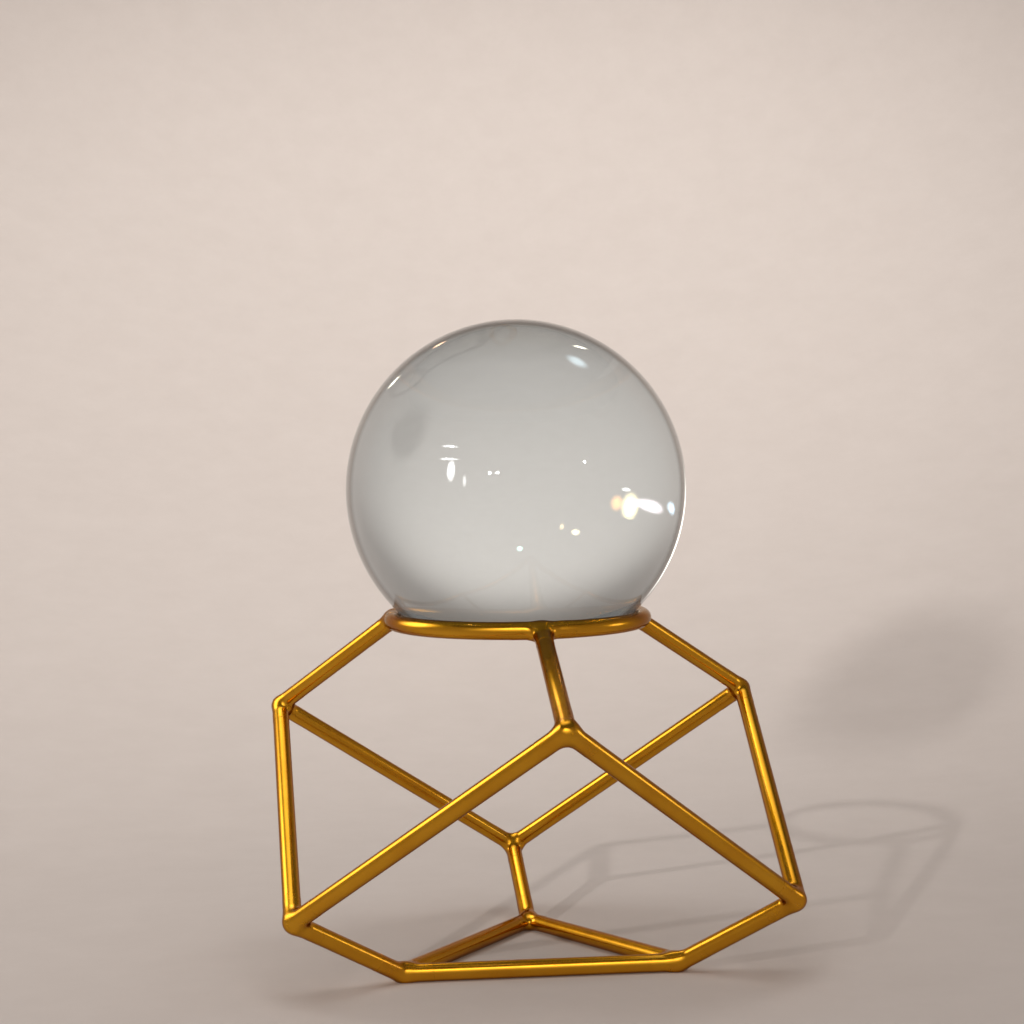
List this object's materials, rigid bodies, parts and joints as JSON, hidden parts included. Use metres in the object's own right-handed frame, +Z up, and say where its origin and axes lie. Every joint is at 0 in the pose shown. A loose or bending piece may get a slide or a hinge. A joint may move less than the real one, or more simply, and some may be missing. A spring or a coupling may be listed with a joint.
{
  "type": "crystal ball on wire stand",
  "caption": "Clear glass ball resting loose in the ring of an open gold wire stand with bent legs, braces and welded corners.",
  "frame": {"origin": "centre of the stand's footprint box, on the surface it stands on", "axes": "+Z up, -Y towards the viewer of the picture, +X to the viewer's right"},
  "size_m": [0.1258, 0.1374, 0.1502],
  "materials": {
    "gold_wire": "polished",
    "gold_weld": "satin",
    "clear_glass": "polished"
  },
  "bodies": {
    "stand": {"support_ring": "gold_wire", "leg_wire_front": "gold_wire", "leg_wire_right": "gold_wire", "leg_wire_left": "gold_wire", "brace_wire_front": "gold_wire", "brace_wire_right": "gold_wire", "brace_wire_left": "gold_wire", "weld_ring_front": "gold_weld", "weld_ring_right": "gold_weld", "weld_ring_left": "gold_weld", "weld_shoulder_front": "gold_weld", "weld_shoulder_right": "gold_weld", "weld_shoulder_left": "gold_weld", "weld_knee_right": "gold_weld", "weld_knee_back": "gold_weld", "weld_knee_left": "gold_weld", "weld_foot_right": "gold_weld", "weld_foot_back": "gold_weld", "weld_foot_left": "gold_weld"},
    "ball": {"glass_ball": "clear_glass"}
  },
  "joints": [
    {"name": "ball_lift", "type": "slide", "parent": "stand", "child": "ball", "axis": [0, 0, 1], "range_m": [0, 0.12]}
  ]
}
